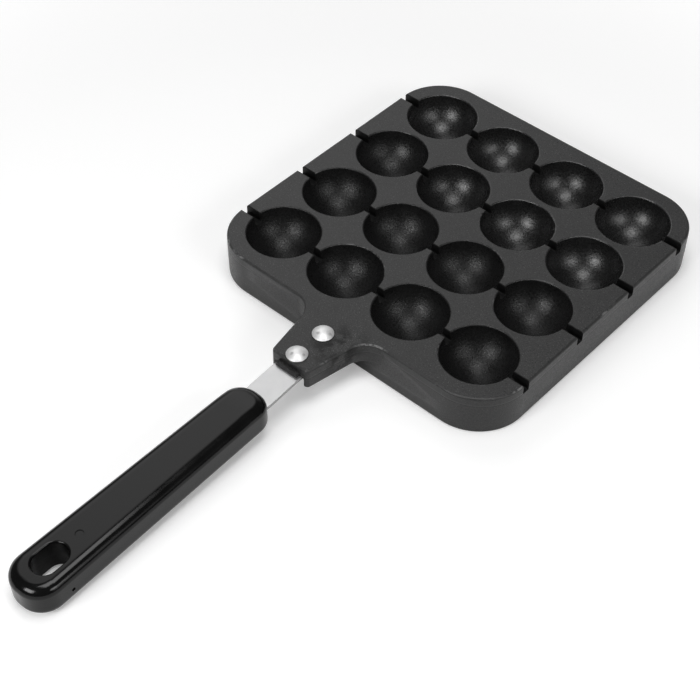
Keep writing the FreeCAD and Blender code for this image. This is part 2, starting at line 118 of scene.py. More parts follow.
def turnedShape(name, profile, segments, start=Vector((0, 0, 0))):
    # a profile of (radius, height) from pole to pole, turned about the upright axis
    bm = bmesh.new()
    rings = []
    for radius, height in profile:
        if radius < 1e-6:
            rings.append([bm.verts.new(start + Vector((0, 0, height)))])
            continue
        ring = []
        for step in range(segments):
            angle = 2 * pi * step / segments
            point = Vector((radius * cos(angle), radius * sin(angle), height))
            ring.append(bm.verts.new(start + point))
        rings.append(ring)
    for lower, upper in zip(rings, rings[1:]):
        if len(lower) > 1 and len(upper) > 1:
            band(bm, lower, upper)
            continue
        pole, ring = (lower[0], upper) if len(lower) == 1 else (upper[0], lower)
        for step in range(segments):
            bm.faces.new((pole, ring[step], ring[(step + 1) % segments]))
    return meshObject(bm, name)


def prismAlongX(name, side, reach):
    # half a section of (y, z) points, mirrored and drawn from -reach to +reach
    section = side + [(-y, z) for y, z in reversed(side)]
    bm = bmesh.new()
    shell(bm, [[bm.verts.new((x, y, z)) for y, z in section] for x in (-reach, reach)])
    return meshObject(bm, name)


def roundedRectangle(halfX, halfY, radius, steps=6, middle=(0, 0)):
    # a closed outline with its outward directions
    points = []
    for corner, (sx, sy) in enumerate(((1, -1), (1, 1), (-1, 1), (-1, -1))):
        centre = (middle[0] + sx * (halfX - radius), middle[1] + sy * (halfY - radius))
        points += arcPoints(centre, radius, 90 * corner - 90, 90 * corner, steps)
    return points


def applied(thing):
    # keeps the mesh that the modifiers make, and drops the modifiers
    bpy.context.view_layer.update()
    evaluated = thing.evaluated_get(bpy.context.evaluated_depsgraph_get())
    mesh = bpy.data.meshes.new_from_object(evaluated)
    old = thing.data
    thing.modifiers.clear()
    thing.data = mesh
    mesh.name = thing.name
    if old.users == 0:
        bpy.data.meshes.remove(old)


def dropped(*things):
    # tools that have done their work
    for thing in things:
        mesh = thing.data
        bpy.data.objects.remove(thing)
        if mesh.users == 0:
            bpy.data.meshes.remove(mesh)


def placed(thing, move, turn=None):
    # millimetres to metres, with the piece's place in its mesh
    place = Matrix.Translation(Vector(move) * mm) @ (turn or Matrix.Identity(4)) @ Matrix.Scale(mm, 4)
    thing.data.transform(place)
    thing.data.update()


def cut(thing, *tools):
    for tool in tools:
        step = thing.modifiers.new(tool.name, "BOOLEAN")
        step.operation = "DIFFERENCE"
        step.solver = "EXACT"
        step.object = tool
    applied(thing)
    dropped(*tools)


def softenNormals(thing, sharpFrom=35):
    # flats stay flat beside their rounds
    mesh = thing.data
    mesh.set_sharp_from_angle(angle=radians(sharpFrom))
    step = thing.modifiers.new("faceWeight", "WEIGHTED_NORMAL")
    step.mode = "FACE_AREA"
    step.keep_sharp = True
    step.weight = 60
    applied(thing)


def plug(tree, made, inputs):
    # sets a node's inputs, each to a value, another node's output or a list of outputs
    for key, given in inputs.items():
        for value in given if isinstance(given, list) else [given]:
            if isinstance(value, bpy.types.NodeSocket):
                tree.links.new(value, made.inputs[key])
            else:
                made.inputs[key].default_value = value


def node(tree, kind, inputs=None, **settings):
    # the outputs of a new node
    made = tree.nodes.new(kind)
    for key, value in settings.items():
        setattr(made, key, value)
    plug(tree, made, inputs or {})
    return made.outputs


def calc(tree, operation, first, second=0.0, third=0.0):
    return node(tree, "ShaderNodeMath", {0: first, 1: second, 2: third}, operation=operation)[0]


def product(tree, first, second):
    return calc(tree, "MULTIPLY", first, second)


def ramp(tree, factor, low, high, first, last):
    # from one colour or grey level to another as the factor goes from low to high
    made = tree.nodes.new("ShaderNodeValToRGB")
    plug(tree, made, {"Fac": factor})
    for stop, position, shade in zip(made.color_ramp.elements, (low, high), (first, last)):
        stop.position = position
        stop.color = (*shade, 1.0) if isinstance(shade, tuple) else (shade, shade, shade, 1.0)
    return made.outputs["Color"]


def fade(tree, value, low, high, first=0.0, last=1.0):
    # a soft step from first to last as the value goes from low to high
    sockets = {"Value": value, "From Min": low, "From Max": high, "To Min": first, "To Max": last}
    return node(tree, "ShaderNodeMapRange", sockets, interpolation_type="SMOOTHSTEP")[0]


def mixed(tree, factor, first, second):
    # a colour between two, which may be sockets or grey levels
    sockets = {0: factor}
    for key, shade in ((6, first), (7, second)):  # the node's colour sockets
        sockets[key] = shade if isinstance(shade, bpy.types.NodeSocket) else (shade, shade, shade, 1.0)
    return node(tree, "ShaderNodeMix", sockets, data_type="RGBA")[2]


def axes(tree, coordinates):
    return node(tree, "ShaderNodeSeparateXYZ", {"Vector": coordinates})


def vector(tree, **parts):
    return node(tree, "ShaderNodeCombineXYZ", parts)[0]


def apart(tree, place, middle):
    # distance from a point
    return node(tree, "ShaderNodeVectorMath", {0: place, 1: middle}, operation="DISTANCE")["Value"]


def newTree(name, sockets):
    # a Geometry Nodes tree with its inputs by name and one geometry output
    tree = bpy.data.node_groups.new(name, "GeometryNodeTree")
    for way in ("OUTPUT", "INPUT"):
        tree.interface.new_socket("Geometry", in_out=way, socket_type="NodeSocketGeometry")
    for label, kind in sockets:
        tree.interface.new_socket(label, in_out="INPUT", socket_type="NodeSocket" + kind)
    return tree, node(tree, "NodeGroupInput"), tree.nodes.new("NodeGroupOutput")


def grow(thing, tree, values):
    # runs the tree on the object with its inputs set by identifier
    step = thing.modifiers.new(tree.name, "NODES")
    step.node_group = tree
    for item in tree.interface.items_tree:
        if item.in_out == "INPUT" and item.name in values:
            step[item.identifier] = values[item.name]
    applied(thing)
    bpy.data.node_groups.remove(tree)


def fromObject(tree, source):
    return node(tree, "GeometryNodeObjectInfo", {"Object": source})["Geometry"]


def inLine(tree, count, start, stride):
    sockets = {"Count": count, "Start Location": start, "Offset": stride}
    return node(tree, "GeometryNodeMeshLine", sockets)[0]


def spread(tree, places, shape):
    # one of the shape at each place
    sockets = {"Points": places, "Instance": shape}
    return node(tree, "GeometryNodeInstanceOnPoints", sockets)[0]


def clad(tree, shape, coat, chosen=True):
    # the shape, or the chosen faces of it, in a finish
    sockets = {"Geometry": shape, "Selection": chosen, "Material": coat}
    return node(tree, "GeometryNodeSetMaterial", sockets)[0]


def material(name):
    made = bpy.data.materials.new(name)
    made.use_nodes = True
    tree = made.node_tree
    shader = tree.nodes["Principled BSDF"]
    coordinates = node(tree, "ShaderNodeTexCoord")["Object"]
    return made, tree, shader, coordinates


def noise(tree, coordinates, scale, detail=2.0, roughness=0.5):
    sockets = {"Vector": coordinates, "Scale": scale, "Detail": detail, "Roughness": roughness}
    return node(tree, "ShaderNodeTexNoise", sockets)["Fac"]


def relief(tree, height, strength, depth):
    sockets = {"Height": height, "Strength": strength, "Distance": depth}
    return node(tree, "ShaderNodeBump", sockets)[0]


def facingUp(tree):
    # 1 where a face looks up, 0 where it stands upright
    return axes(tree, node(tree, "ShaderNodeNewGeometry")["Normal"])["Z"]


# In every look, noise is scale, detail and roughness, and bump is strength and depth in metres.
edgeLook = {
    "thin": 0.030,                   # level on the rounds, where little of the coating stays
    "offWall": (0.30, 0.60),         # how far up the rounds face, from the walls
    "offFlat": (0.94, 0.99),         # and towards the flats
    "rubNoise": (42.0, 2.0, 0.5),
    "rubSpan": (0.55, 0.63),
    "rubShift": (0.030, -0.020, 0.0),
    "rootPaintedHighlight": ((0.0232, 0.0080, 0.0236), 0.0035, 0.0085),  # a painted highlight on the rounds by the lug's root, added as one more rubbed spot
    "grainNoise": (700.0, 2.0, 0.5),
    "grainSpan": (0.36, 0.60),
}


def around(tree, place, spot):
    # 1 at a spot, fading out round it
    middle, full, reach = spot
    return fade(tree, apart(tree, place, middle), full, reach, 1.0, 0.0)


def edged(tree, place, colour, low, share, wornAndHighlight):
    # a colour with the rounds at the plate's top showing: thin, rubbed in stretches, and with a painted
    # highlight by the lug's root
    look = edgeLook
    facing = facingUp(tree)
    offWall = fade(tree, facing, *look["offWall"])
    offFlat = fade(tree, facing, *look["offFlat"], 1.0, 0.0)
    above = fade(tree, axes(tree, place)["Z"], low - 0.0002, low)
    edge = product(tree, product(tree, offWall, offFlat), above)
    shifted = node(tree, "ShaderNodeMapping", {"Vector": place, "Location": look["rubShift"]})[0]
    rubStretchAndRootHighlight = fade(tree, noise(tree, shifted, *look["rubNoise"]), *look["rubSpan"])
    # the spot by the lug's root is a painted highlight: lighter colour standing in for a light catch on
    # the round
    rubStretchAndRootHighlight = calc(tree, "MAXIMUM", rubStretchAndRootHighlight, around(tree, place, look["rootPaintedHighlight"]))
    broken = fade(tree, noise(tree, place, *look["grainNoise"]), *look["grainSpan"])
    rubbedAndRootHighlight = product(tree, edge, product(tree, rubStretchAndRootHighlight, broken))
    colour = mixed(tree, product(tree, edge, share), colour, look["thin"])
    return mixed(tree, rubbedAndRootHighlight, colour, wornAndHighlight)


coatingLook = {
    "ground": (0.008, 0.012),        # the darkest and the lightest of its ground colour
    "cloudNoise": (55.0, 3.0, 0.5),
    "speckle": (0.15, 2.6),          # what the grain makes of these two
    "speckleShare": 0.6,
    "grainNoise": (1100.0, 3.0, 0.65),
    "grainSpan": (0.34, 0.66),
    "fleck": 0.085,
    "fleckNoise": (1900.0, 1.0, 0.7),
    "fleckSpan": (0.60, 0.74),
    "wallFleckPaintedShade": 0.50,               # share of the flecks that the walls keep: fewer flecks make the walls darker, as painted shade
    "roughness": (0.27, 0.49),
    "specular": 0.42,
    "bump": (0.55, 0.00016),
    "edges": (0.0225, 0.8, 0.14),    # their lowest height, how thin they are, level where rubbed and where the root's painted highlight is
    "partingLine": (0.0186, 0.0001, 0.0007, 0.7),   # height, inner and outer reach, depth
    "smudge": ((0.0120, -0.0040, 0.0236), 0.004, 0.021),    # middle, full and fading reach
    "smudgeNoise": (130.0, 4.0, 0.65),
    "smudgeSpan": (0.42, 0.58),
    "smudgeStrength": (0.68, 0.30),  # how much darker and how much duller it is
}


def coatingMaterial(look):
    # sprayed non-stick coating on the flats and walls: dark grey with fine light flecks, fewer on the
    # walls as painted shade
    made, tree, shader, place = material("speckledCoating")
    grain = noise(tree, place, *look["grainNoise"])
    low, high = look["ground"]
    dark, light = look["speckle"]
    ground = ramp(tree, noise(tree, place, *look["cloudNoise"]), 0.3, 0.7, low, high)
    speckle = ramp(tree, grain, *look["grainSpan"], low * dark, high * light)
    fleck = fade(tree, noise(tree, place, *look["fleckNoise"]), *look["fleckSpan"])
    # painted shade: the upright walls keep only part of the flecks, so they render darker
    fleck = product(tree, fleck, fade(tree, facingUp(tree), 0.1, 0.7, look["wallFleckPaintedShade"]))
    colour = mixed(tree, look["speckleShare"], ground, speckle)
    colour = mixed(tree, fleck, colour, look["fleck"])
    blotch = fade(tree, noise(tree, place, *look["smudgeNoise"]), *look["smudgeSpan"])
    smudge = product(tree, blotch, around(tree, place, look["smudge"]))
    darker, duller = look["smudgeStrength"]
    colour = mixed(tree, product(tree, smudge, darker), colour, 0.0)
    uneven = fade(tree, grain, 0.3, 0.7, *look["roughness"])
    height, inner, outer, depth = look["partingLine"]
    fromLine = calc(tree, "ABSOLUTE", calc(tree, "SUBTRACT", axes(tree, place)["Z"], height))
    besideLine = fade(tree, fromLine, inner, outer)
    plug(tree, shader, {
        "Base Color": edged(tree, place, colour, *look["edges"]),
        "Roughness": calc(tree, "MULTIPLY_ADD", smudge, duller, uneven),
        "Specular IOR Level": look["specular"],
        "Normal": relief(tree, calc(tree, "MULTIPLY_ADD", besideLine, depth, grain), *look["bump"]),
    })
    return made


wellLook = {
    # darker than the plate's ground, as painted shade in the wells
    "ground": (0.005, 0.009),
    "cloudNoise": (120.0, 3.0, 0.5),
    "grainNoise": (880.0, 3.0, 0.75),
    "slant": 0.3,                    # of the line between the front rows and the back ones
    "backRows": (0.107, 0.130),      # where the front rows end and the back ones begin
    "roughness": (0.335, 0.28),      # in the front rows and in the back ones
    "uneven": 0.13,
    "specular": 0.32,
    "bump": (1.0, 0.00021),
    "edges": (0.0229, 0.5, 0.084),
    "skin": (0.0, 0.85),             # glossy skin in the front rows and in the back ones
    "skinBreaks": (0.40, 0.60, 0.35, 1.0),    # over the grain
    "skinRoughness": 0.26,
    "skinBump": (0.80, 0.00013),
}


def wellMaterial(look):
    # the same coating where it lies thick and smooth, in the wells, with its ground darker than the
    # plate's as painted shade
    made, tree, shader, place = material("wellCoating")
    grain = noise(tree, place, *look["grainNoise"])
    ground = ramp(tree, noise(tree, place, *look["cloudNoise"]), 0.3, 0.7, *look["ground"])
    across = axes(tree, place)
    back = calc(tree, "MULTIPLY_ADD", across["X"], look["slant"], across["Y"])
    rough = fade(tree, back, *look["backRows"], *look["roughness"])
    uneven = fade(tree, grain, 0.35, 0.65, -look["uneven"], look["uneven"])
    skin = fade(tree, back, *look["backRows"], *look["skin"])
    plug(tree, shader, {
        "Base Color": edged(tree, place, ground, *look["edges"]),
        "Roughness": calc(tree, "ADD", rough, uneven),
        "Specular IOR Level": look["specular"],
        "Coat Weight": product(tree, skin, ramp(tree, grain, *look["skinBreaks"])),
        "Coat Roughness": look["skinRoughness"],
        "Normal": relief(tree, grain, *look["bump"]),
        "Coat Normal": relief(tree, grain, *look["skinBump"]),
    })
    return made


steelLook = {
    "tone": 0.62,
    "cloudTint": (0.95, 0.95, 0.96),    # what its cloudy patches make of the tone
    "cloudNoise": (160.0, 3.0, 0.5),
    "lineNoise": (1800.0, 3.0, 0.6),
    "lineStretch": (1.0, 0.04, 1.0),
    "halfWidth": (0.0077, 0.0079),   # where the face ends and the sheared edge begins
    # darker than the face: dull sheared metal, and painted shade on the strip's side faces
    "shearedEdgeAndShade": 0.40,
    "edgeDull": 0.2,
    "roughness": (0.30, 0.42),
    "bump": (0.12, 0.00005),
}


def steelMaterial(look):
    # rolled strip: fine lines along its length, a dull plated sheen and duller sheared edges, painted
    # darker as shade on the side faces
    made, tree, shader, place = material("platedSteel")
    along = node(tree, "ShaderNodeMapping", {"Vector": place, "Scale": look["lineStretch"]})[0]
    lines = noise(tree, along, *look["lineNoise"])
    tone = look["tone"]
    cloudy = tuple(tone * tint for tint in look["cloudTint"])
    face = ramp(tree, noise(tree, place, *look["cloudNoise"]), 0.3, 0.7, cloudy, tone)
    edge = fade(tree, calc(tree, "ABSOLUTE", axes(tree, place)["X"]), *look["halfWidth"])
    sheen = ramp(tree, lines, 0.3, 0.7, *look["roughness"])
    plug(tree, shader, {
        "Metallic": 1.0,
        "Base Color": mixed(tree, edge, face, look["shearedEdgeAndShade"]),
        "Roughness": calc(tree, "MULTIPLY_ADD", edge, look["edgeDull"], sheen),
        "Normal": relief(tree, lines, *look["bump"]),
    })
    return made


rivetLook = {
    "tone": 0.84,
    "metallic": 0.72,
    "roughness": 0.46,
    "paintedFootShade": 0.02,                   # painted shade and dark reflection round the foot of the head
    "paintedFootShadeSpan": (0.20, 0.50, 0.9, 0.0),
    "pressMarks": ((-1.0, -2.5, 0.8), (3.7, 1.0, 0.8), (3.0, -3.0, 0.3), (-2.8, -0.2, 0.3)),
    "markNoise": (560.0, 3.0, 0.6),
    "markEdge": (-0.0007, 0.0004),
    "markRagged": 0.0018,
    "markTone": 0.5,                 # share of the tone that is left in a mark
    "markDull": 0.10,
    "fineNoise": (2400.0, 2.0, 0.5),
    "bump": (0.10, 0.00008),
}


def rivetMaterial(look, start, spacing):
    # pressed aluminium head, bright, with the dull marks that the press leaves on each, and painted
    # shade round its foot
    made, tree, shader, place = material("brightAluminium")
    across = axes(tree, place)
    half = spacing / 2
    row = calc(tree, "FLOORED_MODULO", calc(tree, "SUBTRACT", across["Y"], start - half), spacing)
    fromMiddle = vector(tree, X=across["X"], Y=calc(tree, "SUBTRACT", row, half))
    ragged = noise(tree, place, *look["markNoise"])
    marks = 0.0
    for x, y, strength in look["pressMarks"]:
        reach = apart(tree, fromMiddle, (x * mm, y * mm, 0.0))
        reach = calc(tree, "MULTIPLY_ADD", ragged, -look["markRagged"], reach)
        marks = calc(tree, "MAXIMUM", marks, fade(tree, reach, *look["markEdge"], strength, 0.0))
    # painted shade: the upright foot of each head is darkened in colour to stand in for its contact
    # shadow and dark reflection
    paintedFootShade = fade(tree, calc(tree, "ABSOLUTE", facingUp(tree)), *look["paintedFootShadeSpan"])
    pressed = mixed(tree, marks, look["tone"], look["tone"] * look["markTone"])
    plug(tree, shader, {
        "Metallic": look["metallic"],
        "Base Color": mixed(tree, paintedFootShade, pressed, look["paintedFootShade"]),
        "Roughness": calc(tree, "MULTIPLY_ADD", marks, look["markDull"], look["roughness"]),
        "Normal": relief(tree, noise(tree, place, *look["fineNoise"]), *look["bump"]),
    })
    return made


grooveShadeLook = {                       # thick dull coating, with a ground darker than the plate's as painted shade in the grooves
    "ground": (0.004, 0.007),
    "groundNoise": (300.0, 3.0, 0.5),
    "roughness": (0.42, 0.54),
    "roughnessNoise": (1500.0, 2.0, 0.6),
    "span": (0.3, 0.7),
    "specular": 0.20,
    "bumpNoise": (1500.0, 2.0, 0.6),
    "bump": (0.5, 0.00015),
}
phenolicLook = {                     # moulded resin: glossy black with a faint orange peel
    "ground": (0.002, 0.0035),
    "groundNoise": (90.0, 4.0, 0.5),
    "roughness": (0.12, 0.17),
    "roughnessNoise": (90.0, 4.0, 0.5),
    "span": (0.3, 0.7),
    "specular": 0.28,
    "bumpNoise": (2200.0, 2.0, 0.5),
    "bump": (0.10, 0.00006),
}
coredLookAndShade = {                        # the same resin where a core has left it dull, darker and less glossy as painted shade inside the eye
    "ground": (0.0005, 0.003),
    "groundNoise": (420.0, 4.0, 0.6),
    "roughness": (0.42, 0.30),
    "roughnessNoise": (420.0, 4.0, 0.6),
    "span": (0.35, 0.65),
    "specular": 0.09,
    "bumpNoise": (420.0, 4.0, 0.6),
    "bump": (0.35, 0.00025),
}


def plainMaterial(name, look):
    # one ground colour, clouded a little, with an uneven sheen and a fine relief
    made, tree, shader, place = material(name)
    cloud = noise(tree, place, *look["groundNoise"])
    uneven = noise(tree, place, *look["roughnessNoise"])
    plug(tree, shader, {
        "Base Color": ramp(tree, cloud, *look["span"], *look["ground"]),
        "Roughness": ramp(tree, uneven, *look["span"], *look["roughness"]),
        "Specular IOR Level": look["specular"],
        "Normal": relief(tree, noise(tree, place, *look["bumpNoise"]), *look["bump"]),
    })
    return made


panLow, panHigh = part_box("pan_casting")
pan = {
    "side": (panHigh[0] - panLow[0]) / mm,
    "height": panHigh[2] / mm,
    "cornerRadius": 27.2,
    "draft": 1.2,            # degrees, under the band that is as deep as the lug
    "plate": 3.6,
    "skirt": 3.2,
    "topRound": 1.2,
    "rimRound": 1.2,
    "innerRim": 0.5,         # round on the rim's inner edge
    "hollowRound": 3.0,
    "lugLength": 35.2,
    "lugEndWidth": 23.1,
    "lugTaper": 10.5,
    "lugDepth": 11.5,
    "lugRoot": 12.0,
    "rootSteps": 16,
    "lugCorner": 2.3,
    "lugUnderRound": 1.0,
    "roof": 5.75,
    "channelWidth": 18.8,
    "channelStart": 3.2,     # metal left between the wall and the channel
    "channelCorner": 2.0,
    "channelRound": 0.9,
    "lip": (13.2, 2.3, 2.3),       # width, length, height
    "lipRound": (0.14, 0.35),      # across and down
    "lipCorner": 0.15,
    "lipSunk": 0.9,                # below the roof's underside
    "rivetHole": 2.6,
}
well = {
    "pitch": 42.5,
    "count": 4,
    "radius": 19.3,
    "depth": 18.0,
    "wall": 2.6,
    "rimRound": 0.8,
    "domeRound": 2.5,
    "grooveWidth": 4.4,
    "grooveDepth": 5.4,
    "grooveWall": 2.2,
    "grooveFloorRound": 0.8,
    "grooveRimRound": 0.5,
    "ribRound": 1.2,
}
rivet = {
    "count": 2,
    "inset": 11.4,           # from the wall to the first
    "spacing": 18.3,
    "shank": 2.5,
    "headRadius": 5.4,
    "headHeight": 2.3,
    "headEdge": 0.5,
    "headFoot": ((-1.0, -0.02), (-0.45, 0.08), (-0.08, 0.28), (0.0, 0.38)),    # past its edge, and up
    "tailRadius": 4.0,
    "tailHeight": 1.5,
    "grip": 7.55,            # roof and tang together
}
panCentre = panHigh[1] / mm - pan["side"] / 2
wallY = panCentre - pan["side"] / 2  # the wall that the lug stands on
roofZ = pan["height"] - pan["roof"]  # the underside of the lug's roof
rivetY = wallY - rivet["inset"]

coating = coatingMaterial(coatingLook)
wellCoating = wellMaterial(wellLook)
grooveCoating = plainMaterial("grooveCoating", grooveShadeLook)
steel = steelMaterial(steelLook)
aluminium = rivetMaterial(rivetLook, rivetY * mm, rivet["spacing"] * mm)
phenolic = plainMaterial("glossyPhenolic", phenolicLook)
coredPhenolic = plainMaterial("coredPhenolic", coredLookAndShade)
print("finishes mixed")


def panOutline():
    # the loop, from the lug's end by the right, and the point where the lug's root ends
    half = pan["side"] / 2
    end = -(half + pan["lugLength"])
    taper = radians(pan["lugTaper"])
    halfEnd = pan["lugEndWidth"] / 2
    corner = pan["lugCorner"]
    root = pan["lugRoot"]
    bend = pan["cornerRadius"]
    cornerX = halfEnd - corner * (1 - sin(taper)) / cos(taper)
    rootX = halfEnd + (pan["lugLength"] - root) * tan(taper) + root / cos(taper)
    points = arcPoints((cornerX, end + corner), corner, -90, -pan["lugTaper"], 8)
    points += arcPoints((rootX, -half - root), root, 180 - pan["lugTaper"], 90, pan["rootSteps"],
                        hollow=True)
    rootEnd = len(points) - 1
    points += arcPoints((half - bend, bend - half), bend, -90, 0, 32)
    points += arcPoints((half - bend, half - bend), bend, 0, 90, 32)
    return points + mirrored(points), rootEnd


def panBody():
    # the plain casting, before its wells: plate, skirt and lug in one closed shell
    loop, rootEnd = panOutline()
    total = len(loop)
    top = pan["height"]
    floor = top - pan["lugDepth"]
    edge = pan["topRound"]

    def underRound(index):
        # full along the lug, fading out round its root
        near = min(index, total - 1 - index)
        share = min(1.0, max(0.0, (rootEnd - near) / pan["rootSteps"]))
        return pan["lugUnderRound"] * share ** 0.5

    bm = bmesh.new()
    rings = [ringAt(bm, loop, edge * left, top - edge * grown) for grown, left in quarter(6)]
    for grown, left in quarter(4):
        rings.append(ringAt(bm, loop, lambda index: underRound(index) * grown,
                            lambda index, place: floor + underRound(index) * left))
    shell(bm, rings, capped=False)
    bm.faces.new(rings[0])
    last = rings[-1]
    bm.faces.new(last[total - 1 - rootEnd:] + last[:rootEnd + 1])  # under the lug

    wall = loop[rootEnd:total - rootEnd]
    lean = tan(radians(pan["draft"]))
    rim = pan["rimRound"]
    inner = pan["innerRim"]
    skirt = pan["skirt"]
    under = top - pan["plate"]
    bend = pan["hollowRound"]
    steps = [(floor * 0.5 * lean, floor * 0.5), ((floor - rim) * lean, rim)]
    steps += [((floor - rim) * lean + rim * grown, rim * left) for grown, left in quarter(5, 1)]
    steps += [(skirt - inner, 0.0), (skirt - inner * 0.3, inner * 0.3), (skirt, inner)]
    steps.append((skirt, under - bend))
    steps += [(skirt + bend * grown, under - bend * left) for grown, left in quarter(6, 1)]
    rings = [last[rootEnd:total - rootEnd]]
    rings += [ringAt(bm, wall, offset, height) for offset, height in steps]
    shell(bm, rings, capped=False)
    bm.faces.new(rings[-1])
    return meshObject(bm, "panBody")


def throughPlane(centre, radius, start, steps, plane):
    # an arc that turns level at a plane but passes it at a small angle, so that a cut is clean
    passing = 12  # degrees
    lift = 0.12
    points = []
    for step in range(steps + 1):
        angle = radians(start + (90 + passing - start) * step / steps)
        points.append((centre[0] + radius * cos(angle), centre[1] + radius * sin(angle)))
    reach = (plane + lift - points[-1][1]) / tan(radians(passing))
    points.append((points[-1][0] + reach, plane + lift))
    return points


def bowlTool(name, wall, soft, plane, above, steps, bendSteps, segments):
    # a well's ball, grown by a wall, run into a level plane with a round and closed above it
    ball = arcRadius(well["radius"], well["depth"])
    middle = ball - well["depth"]
    ball += wall
    footZ = plane - soft
    footX = sqrt((ball + soft) ** 2 - (middle - footZ) ** 2)
    meet = degrees(atan2(middle - footZ, footX))
    profile = [(0.0, middle - ball)]
    for step in range(1, steps):
        angle = radians(-90 + (90 - meet) * step / steps)
        profile.append((ball * cos(angle), middle + ball * sin(angle)))
    profile += throughPlane((footX, footZ), soft, 180 - meet, bendSteps, plane)
    profile += [(profile[-1][0], plane + above), (0.0, plane + above)]
    return turnedShape(name, profile, segments)


def grooveTool():
    # the slot that a pick is drawn along, with a soft floor and a soft lip
    half = well["grooveWidth"] / 2
    soft = well["grooveFloorRound"]
    lip = well["grooveRimRound"]
    side = [(half - soft * left, soft * grown - well["grooveDepth"]) for grown, left in quarter(5)]
    side += throughPlane((half + lip, -lip), lip, 180, 5, 0.0)
    side.append((side[-1][0], 2.5))  # clear of the plate's top
    return prismAlongX("grooveTool", side, pan["side"] / 2 + 4)  # and of its walls


def ribTool():
    # the metal under one groove
    half = well["grooveWidth"] / 2 + well["grooveWall"]
    low = -(well["grooveDepth"] + well["grooveWall"])
    soft = well["ribRound"]
    side = [(half - soft * left, low + soft * grown) for grown, left in quarter(5)]
    side.append((half, 1.0 - pan["plate"]))  # into the plate, and half into the skirt
    return prismAlongX("ribTool", side, pan["side"] / 2 - pan["skirt"] / 2)


def channelTool():
    # the hollow under the lug's roof, open below and at the lug's end
    half = pan["channelWidth"] / 2
    start = -(pan["side"] / 2 + pan["channelStart"])
    end = -(pan["side"] / 2 + pan["lugLength"] + 8)  # past the lug's end
    middle = (0, (start + end) / 2)
    loop = roundedRectangle(half, (start - end) / 2, pan["channelCorner"], middle=middle)
    soft = pan["channelRound"]
    bm = bmesh.new()
    rings = [ringAt(bm, loop, 0.0, pan["height"] - pan["lugDepth"] - 2)]  # and below the lug
    rings += [ringAt(bm, loop, soft * grown, roofZ - soft * left) for grown, left in quarter(5)]
    shell(bm, rings)
    return meshObject(bm, "channelTool")


def lipShape():
    # the small lip that carries the tang past the roof's end
    width, length, thick = pan["lip"]
    across, down = pan["lipRound"]
    end = -(pan["side"] / 2 + pan["lugLength"])
    loop = roundedRectangle(width / 2, length, pan["lipCorner"], middle=(0, end))
    bm = bmesh.new()
    rings = [ringAt(bm, loop, 0.0, roofZ - pan["lipSunk"])]
    for grown, left in quarter(4):
        rings.append(ringAt(bm, loop, across * grown, roofZ + thick - down * left))
    shell(bm, rings)
    return meshObject(bm, "lipShape")


def rivetHoleTool():
    radius = pan["rivetHole"]
    low, high = -8.0, 1.0  # clear of the roof on both sides
    return turnedShape("rivetHoleTool", [(0.0, low), (radius, low), (radius, high), (0.0, high)], 32)


def castingTree():
    # domes and ribs join the plain body, then wells, grooves, channel and rivet holes leave it
    shapes = ("Dome", "Rib", "Well", "Groove", "Channel", "Lip", "Rivet Hole")
    finishes = ("Coating", "Well Coating", "Groove Coating")
    sockets = [("Pitch", "Float"), ("Count", "Int"), ("Plate Top", "Float")]
    sockets += [("Rivet Start", "Float"), ("Rivet Spacing", "Float")]
    sockets += [(label, "Object") for label in shapes]
    sockets += [(label, "Material") for label in finishes]
    tree, given, result = newTree("castPan", sockets)

    count = given["Count"]
    top = given["Plate Top"]
    span = product(tree, given["Pitch"], calc(tree, "SUBTRACT", count, 1.0))
    sizes = {"Size X": span, "Size Y": span, "Vertices X": count, "Vertices Y": count}
    level = node(tree, "GeometryNodeMeshGrid", sizes)[0]
    lifted = {"Geometry": level, "Translation": vector(tree, Z=top)}
    grid = node(tree, "GeometryNodeTransform", lifted)[0]
    first = vector(tree, Y=product(tree, span, -0.5), Z=top)
    line = inLine(tree, count, first, vector(tree, Y=given["Pitch"]))
    outward = vector(tree, Y=product(tree, given["Rivet Spacing"], -1.0))
    holes = inLine(tree, rivet["count"], vector(tree, Y=given["Rivet Start"], Z=top), outward)

    def shape(label, coat):
        return clad(tree, fromObject(tree, given[label]), given[coat])

    def combined(operation, inputs):
        return node(tree, "GeometryNodeMeshBoolean", inputs, operation=operation, solver="MANIFOLD")[0]

    added = combined("UNION", {"Mesh 2": [
        clad(tree, given["Geometry"], given["Coating"]),
        spread(tree, grid, shape("Dome", "Coating")),
        spread(tree, line, shape("Rib", "Coating")),
        shape("Lip", "Coating"),
    ]})
    taken = combined("DIFFERENCE", {"Mesh 1": added, "Mesh 2": [
        spread(tree, grid, shape("Well", "Well Coating")),
        spread(tree, line, shape("Groove", "Groove Coating")),
        shape("Channel", "Coating"),
        spread(tree, holes, shape("Rivet Hole", "Coating")),
    ]})
    smooth = node(tree, "GeometryNodeSetShadeSmooth", {"Geometry": taken})[0]
    real = node(tree, "GeometryNodeRealizeInstances", {"Geometry": smooth})[0]
    inWell, inGroove = (
        node(tree, "GeometryNodeMaterialSelection", {"Material": given[label]})[0]
        for label in finishes[1:]
    )
    rest = node(tree, "FunctionNodeBooleanMath", {0: inWell, 1: inGroove}, operation="NOR")[0]
    tree.links.new(clad(tree, real, given["Coating"], rest), result.inputs[0])
    return tree


